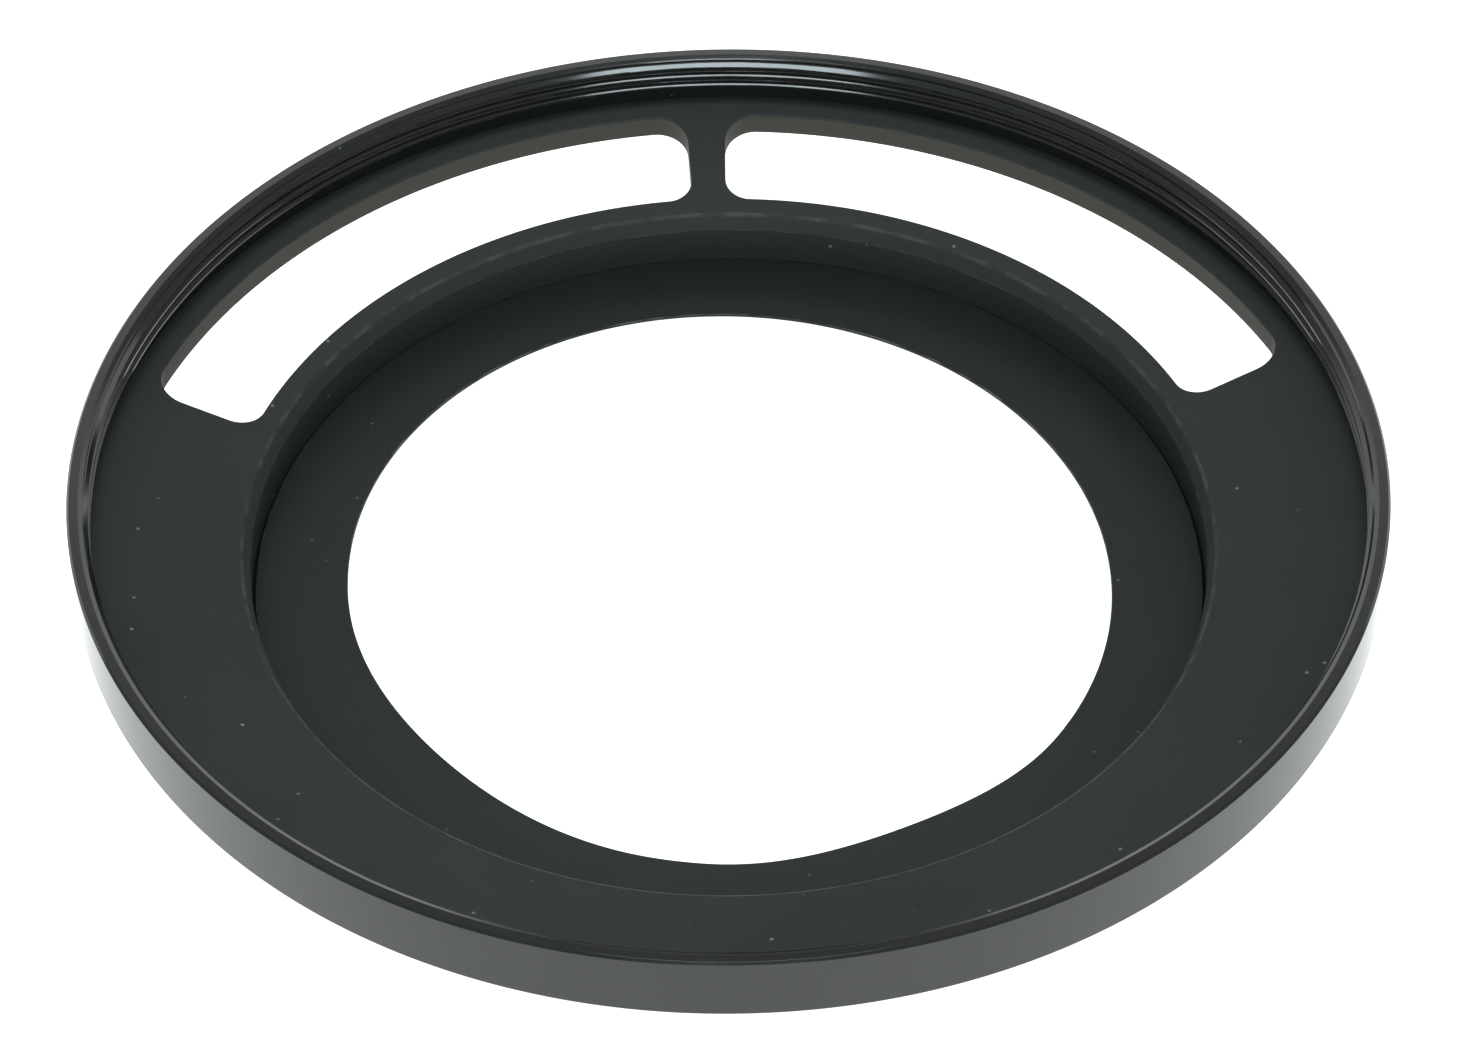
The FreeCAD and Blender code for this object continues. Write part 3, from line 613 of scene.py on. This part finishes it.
def matte_black():
    """Matte paint: dark grey-green with grain and dust, paler towards +Y from painted light and warmer on the
    vent walls.
    """
    finish = Finish("matte_black_paint")
    shader = finish.shader
    cloud = finish.noise(90.0, 4.0)
    colour = finish.mix(cloud, (0.0125, 0.0165, 0.0155), (0.0175, 0.0212, 0.0195))
    grain = finish.noise(9000.0, 3.0)
    colour = finish.mix(finish.range(grain, 0.3, 0.7, 0.0, 0.5), colour, (0.0215, 0.0250, 0.0235))
    # Painted light: the colour is lifted towards +Y, the far side, to stand in for light falling there.
    far_side_painted_light = finish.range(finish.axes()[1], -0.010, 0.032, 0.0, 1.0)
    colour = finish.mix(far_side_painted_light, colour, (0.0300, 0.0335, 0.0315))
    # Vent walls: a lighter, warmer colour than the rest of the dish.
    vent_wall_mask = finish.node("ShaderNodeAttribute", attribute_name="cut").outputs["Fac"]
    colour = finish.mix(vent_wall_mask, colour, (0.0720, 0.0690, 0.0580))
    dust = finish.specks(900.0, 0.13, 0.09)
    fine_dust = finish.specks(2300.0, 0.18, 0.012)
    colour = finish.mix(finish.math("MULTIPLY", dust, 0.8), colour, (0.20, 0.22, 0.24))
    colour = finish.mix(finish.math("MULTIPLY", fine_dust, 0.3), colour, (0.13, 0.14, 0.14))
    colour = finish.mix(finish.worn_edge(0.3, 700.0), colour, (0.11, 0.12, 0.115))
    finish.link(colour, shader.inputs["Base Color"])
    finish.link(finish.range(cloud, 0.3, 0.7, 0.55, 0.68), shader.inputs["Roughness"])
    shader.inputs["Specular IOR Level"].default_value = 0.24
    finish.bumps((grain, 0.000012), (finish.ring_noise(5200.0), 0.000003))
    shader.inputs["IOR"].default_value = 1.45
    return finish.material


def floor_black():
    """The plate's paint: a touch bluer and smoother than the dish's, and paler towards -Y from painted light.
    """
    finish = Finish("floor_black_paint")
    shader = finish.shader
    cloud = finish.noise(120.0, 4.0)
    colour = finish.mix(cloud, (0.0065, 0.0098, 0.0098), (0.0095, 0.0130, 0.0132))
    grain = finish.noise(9500.0, 3.0)
    colour = finish.mix(finish.range(grain, 0.3, 0.7, 0.0, 0.45), colour, (0.0115, 0.0150, 0.0152))
    # Painted light: the colour is lifted towards -Y, the near side, to stand in for light falling there.
    near_side_painted_light = finish.range(finish.axes()[1], -0.026, -0.013, 0.6, 0.0)
    colour = finish.mix(near_side_painted_light, colour, (0.0190, 0.0235, 0.0225))
    dust = finish.specks(1100.0, 0.13, 0.04)
    colour = finish.mix(finish.math("MULTIPLY", dust, 0.5), colour, (0.18, 0.20, 0.22))
    colour = finish.mix(finish.worn_edge(0.8, 600.0), colour, (0.12, 0.13, 0.13))
    finish.link(colour, shader.inputs["Base Color"])
    finish.link(finish.range(cloud, 0.3, 0.7, 0.5, 0.6), shader.inputs["Roughness"])
    shader.inputs["Specular IOR Level"].default_value = 0.3
    finish.bumps((grain, 0.000010), (finish.ring_noise(4200.0), 0.000004))
    shader.inputs["IOR"].default_value = 1.45
    return finish.material


def satin_black():
    """Black anodised aluminium with visible turning lines."""
    finish = Finish("satin_black_anodised")
    shader = finish.shader
    lines = finish.ring_noise(7000.0)
    cloud = finish.noise(150.0, 3.0)
    colour = finish.mix(lines, (0.012, 0.012, 0.014), (0.030, 0.030, 0.032))
    colour = finish.mix(finish.range(cloud, 0.45, 0.75, 0.0, 0.4), colour, (0.045, 0.045, 0.047))
    finish.link(colour, shader.inputs["Base Color"])
    finish.link(finish.range(lines, 0.3, 0.7, 0.28, 0.42), shader.inputs["Roughness"])
    finish.bumps((lines, 0.000006), (finish.noise(8000.0, 2.0), 0.000002))
    return finish.material


def bare_metal(name, dark, light, roughness, grain_scale):
    """Bare metal with fine grain and darker clouds, as from handling."""
    finish = Finish(name)
    shader = finish.shader
    grain = finish.noise(grain_scale, 3.0)
    cloud = finish.noise(1300.0, 4.0)
    colour = finish.mix(grain, dark, light)
    handled = tuple(c * 0.55 for c in dark)
    colour = finish.mix(finish.range(cloud, 0.5, 0.75, 0.0, 0.5), colour, handled)
    finish.link(colour, shader.inputs["Base Color"])
    shader.inputs["Metallic"].default_value = 1.0
    finish.link(finish.range(cloud, 0.3, 0.7, roughness * 0.8, roughness * 1.3), shader.inputs["Roughness"])
    finish.bumps((grain, 0.000003))
    return finish.material


def dress(node, material):
    """Give a CAD node its finish."""
    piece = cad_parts[node]
    for slot in piece.material_slots:
        slot.material = material


# Studio ---------------------------------------------------------------------------------------------

def floor():
    """White paper sweep that glows a little, curves up behind the hood and fades towards its top."""
    half = 3.0
    bend_start, bend_radius, wall_top = 0.7, 0.5, 1.45
    steps = 12
    gap = 0.00005
    rows = [(-half, 0.0), (bend_start, 0.0)]
    for step in range(1, steps + 1):
        angle = math.pi / 2 * step / steps
        rows.append((bend_start + bend_radius * math.sin(angle), bend_radius * (1 - math.cos(angle))))
    rows.append((bend_start + bend_radius, wall_top))
    points = [(side * half, y, z) for y, z in rows for side in (-1, 1)]
    faces = [(2 * i, 2 * i + 1, 2 * i + 3, 2 * i + 2) for i in range(len(rows) - 1)]
    surface = bpy.data.meshes.new("floor")
    surface.from_pydata(points, [], faces)
    surface.polygons.foreach_set("use_smooth", [True] * len(faces))
    finish = Finish("floor_paper")
    tint = finish.noise(6.0, 2.0)
    colour = finish.mix(tint, (0.54, 0.54, 0.54), (0.58, 0.58, 0.575))
    finish.link(colour, finish.shader.inputs["Base Color"])
    finish.shader.inputs["Roughness"].default_value = 0.9
    finish.shader.inputs["Emission Color"].default_value = (0.985, 1.0, 0.985, 1.0)
    glow = finish.range(finish.axes()[2], 0.90, 1.35, 1.08, 0.0)
    finish.link(glow, finish.shader.inputs["Emission Strength"])
    surface.materials.append(finish.material)
    ground = bpy.data.objects.new("floor", surface)
    ground.location.z = -gap
    bpy.context.scene.collection.objects.link(ground)


def softbox(name, direction, distance, width, height, radiance, colour):
    """Area light of a given radiance that faces the hood."""
    light = bpy.data.lights.new(name, "AREA")
    light.shape = "RECTANGLE"
    light.size = width
    light.size_y = height
    light.energy = radiance * math.pi * width * height
    light.color = colour
    lamp = bpy.data.objects.new(name, light)
    towards = Vector(direction).normalized()
    lamp.location = towards * distance
    lamp.rotation_euler = (-towards).to_track_quat("-Z", "Y").to_euler()
    bpy.context.scene.collection.objects.link(lamp)


SOFTBOX_COLOUR = (0.83, 0.95, 1.0)


def studio():
    world = bpy.data.worlds.new("studio")
    world.use_nodes = True
    backdrop = world.node_tree.nodes["Background"]
    backdrop.inputs["Color"].default_value = (0.97, 0.99, 1.0, 1.0)
    backdrop.inputs["Strength"].default_value = 0.42
    bpy.context.scene.world = world
    softbox("overhead", (0.0, -0.15, 1.0), 1.2, 0.45, 0.32, 12.5, SOFTBOX_COLOUR)
    softbox("front", (0.0, -1.0, 0.60), 1.3, 0.45, 0.28, 13.0, SOFTBOX_COLOUR)


# Camera ---------------------------------------------------------------------------------------------

SENSOR_WIDTH = 36.0
FOCAL_LENGTH = 130.33
CAMERA_TURN = math.radians(2.02)
CAMERA_TILT = math.radians(44.23)
CAMERA_ROLL = -0.0077
RIM_CENTRE_FROM_CAMERA = (-0.0021, -0.0994, 8.0)


def camera():
    """Long lens from the front and above, standing 8 rim radii from the rim's centre."""
    radius = RIM_RADIUS * MM
    lens = bpy.data.cameras.new("camera")
    lens.sensor_width = SENSOR_WIDTH
    lens.lens = FOCAL_LENGTH
    lens.clip_start = 0.01
    turn = Matrix.Rotation(CAMERA_TURN, 3, "Z")
    level = Matrix(((1, 0, 0), (0, 0, -1), (0, 1, 0)))
    tilt = Matrix.Rotation(CAMERA_TILT, 3, "X")
    roll = Matrix.Rotation(CAMERA_ROLL, 3, "Z")
    view = roll @ tilt @ level @ turn
    rim_centre = Vector((0.0, 0.0, RIM * MM))
    seen_at = Vector(RIM_CENTRE_FROM_CAMERA) * radius
    axes = view.transposed() @ Matrix(((1, 0, 0), (0, -1, 0), (0, 0, -1)))
    eye = bpy.data.objects.new("camera", lens)
    eye.matrix_world = Matrix.Translation(rim_centre - view.transposed() @ seen_at) @ axes.to_4x4()
    bpy.context.scene.collection.objects.link(eye)
    bpy.context.scene.camera = eye


front_ring(gloss_black())
vented_dish(matte_black())
mount_plate(floor_black())
dress("bayonet_ring", satin_black())
screw_steel = bare_metal("dark_screw_steel", (0.08, 0.08, 0.085), (0.13, 0.13, 0.135), 0.35, 9000.0)
dress("bayonet_screws", screw_steel)
spring_steel = bare_metal("spring_steel", (0.50, 0.49, 0.47), (0.62, 0.61, 0.59), 0.28, 7000.0)
dress("click_spring", spring_steel)
brass = bare_metal("turned_brass", (0.55, 0.39, 0.16), (0.68, 0.50, 0.23), 0.3, 9000.0)
dress("click_spring_screw", brass)
pins = bare_metal("ground_steel", (0.46, 0.46, 0.46), (0.56, 0.56, 0.56), 0.25, 9000.0)
dress("locating_pin", pins)
dress("bayonet_stop_pin", pins)
floor()
studio()
camera()
bpy.context.scene.view_settings.view_transform = "Standard"
